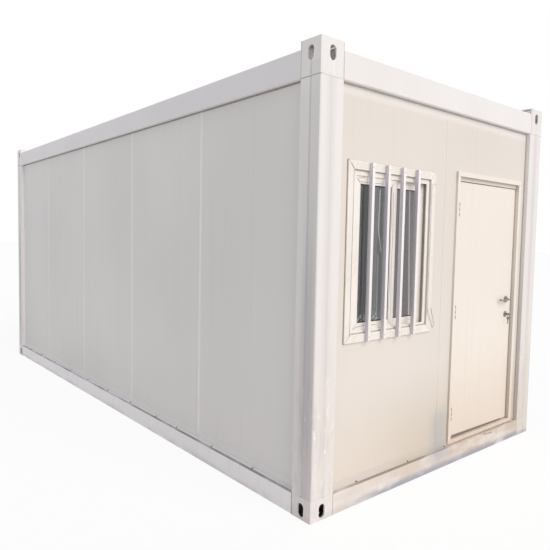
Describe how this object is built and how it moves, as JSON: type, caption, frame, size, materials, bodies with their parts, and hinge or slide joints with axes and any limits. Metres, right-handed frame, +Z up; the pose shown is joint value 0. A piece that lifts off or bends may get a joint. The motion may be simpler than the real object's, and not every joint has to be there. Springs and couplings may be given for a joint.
{
  "type": "prefab container house",
  "caption": "Flat-pack cabin of steel corner posts, beams and insulated wall panels, with a hinged door and a sliding window in one end.",
  "frame": {"origin": "on the ground under the middle of the cabin", "axes": "+X to the right seen from the door end, +Y towards the back end, +Z up"},
  "size_m": [2.66, 5.89, 2.8],
  "materials": {
    "frame_paint": "semi-gloss white paint over folded steel",
    "panel_paint": "satin off-white coating on sheet",
    "door_paint": "satin warm white coating on sheet",
    "threshold_steel": "scuffed painted sill",
    "lock_steel": "satin",
    "window_plastic": "smooth white",
    "window_glass": "clear",
    "galvanised_steel": "dull zinc",
    "roof_paint": "satin off-white coating on ribbed sheet",
    "floor_vinyl": "matt sheet flooring",
    "ceiling_paint": "satin white sheet"
  },
  "bodies": {
    "cabin": {"back_wall_panels": "panel_paint", "base_flashing": "panel_paint", "bottom_beam_back": "frame_paint", "bottom_beam_front": "frame_paint", "bottom_beam_left": "frame_paint", "bottom_beam_right": "frame_paint", "bottom_fitting_back_left": "frame_paint", "bottom_fitting_back_right": "frame_paint", "bottom_fitting_front_left": "frame_paint", "bottom_fitting_front_right": "frame_paint", "ceiling": "ceiling_paint", "corner_post_back_left": "frame_paint", "corner_post_back_right": "frame_paint", "corner_post_front_left": "frame_paint", "corner_post_front_right": "frame_paint", "door_frame_hinges": "door_paint", "door_head": "door_paint", "door_hinge_jamb": "door_paint", "door_lock_jamb": "door_paint", "door_threshold": "threshold_steel", "floor_deck": "floor_vinyl", "floor_joists": "galvanised_steel", "front_wall_hinge_side": "panel_paint", "front_wall_lock_side": "panel_paint", "front_wall_over_door": "panel_paint", "front_window_panel": "panel_paint", "left_wall_panels": "panel_paint", "right_wall_panels": "panel_paint", "roof_purlins": "galvanised_steel", "roof_sheet": "roof_paint", "top_beam_back": "frame_paint", "top_beam_front": "frame_paint", "top_beam_left": "frame_paint", "top_beam_right": "frame_paint", "top_fitting_back_left": "frame_paint", "top_fitting_back_right": "frame_paint", "top_fitting_end_plate_back_left": "frame_paint", "top_fitting_end_plate_back_right": "frame_paint", "top_fitting_end_plate_front_left": "frame_paint", "top_fitting_end_plate_front_right": "frame_paint", "top_fitting_front_left": "frame_paint", "top_fitting_front_right": "frame_paint", "top_fitting_side_plate_back_left": "frame_paint", "top_fitting_side_plate_back_right": "frame_paint", "top_fitting_side_plate_front_left": "frame_paint", "top_fitting_side_plate_front_right": "frame_paint", "window_frame": "window_plastic", "window_glass": "window_glass", "window_sashes": "window_plastic"},
    "door": {"door_leaf": "door_paint", "door_leaf_hinges": "door_paint", "door_lock_set": "lock_steel"},
    "handle": {"door_handle": "lock_steel"}
  },
  "joints": [
    {"name": "door_hinge", "type": "hinge", "parent": "cabin", "child": "door", "pos_m": [0.1565, -2.9065, 1.15], "axis": [0, 0, -1], "range_deg": [0, 110]},
    {"name": "handle_turn", "type": "hinge", "parent": "door", "child": "handle", "pos_m": [0.937, -2.875, 1.2], "axis": [0, -1, 0], "range_deg": [0, 45], "stiffness_Nm_per_rad": 1, "springref_deg": -28.65}
  ]
}
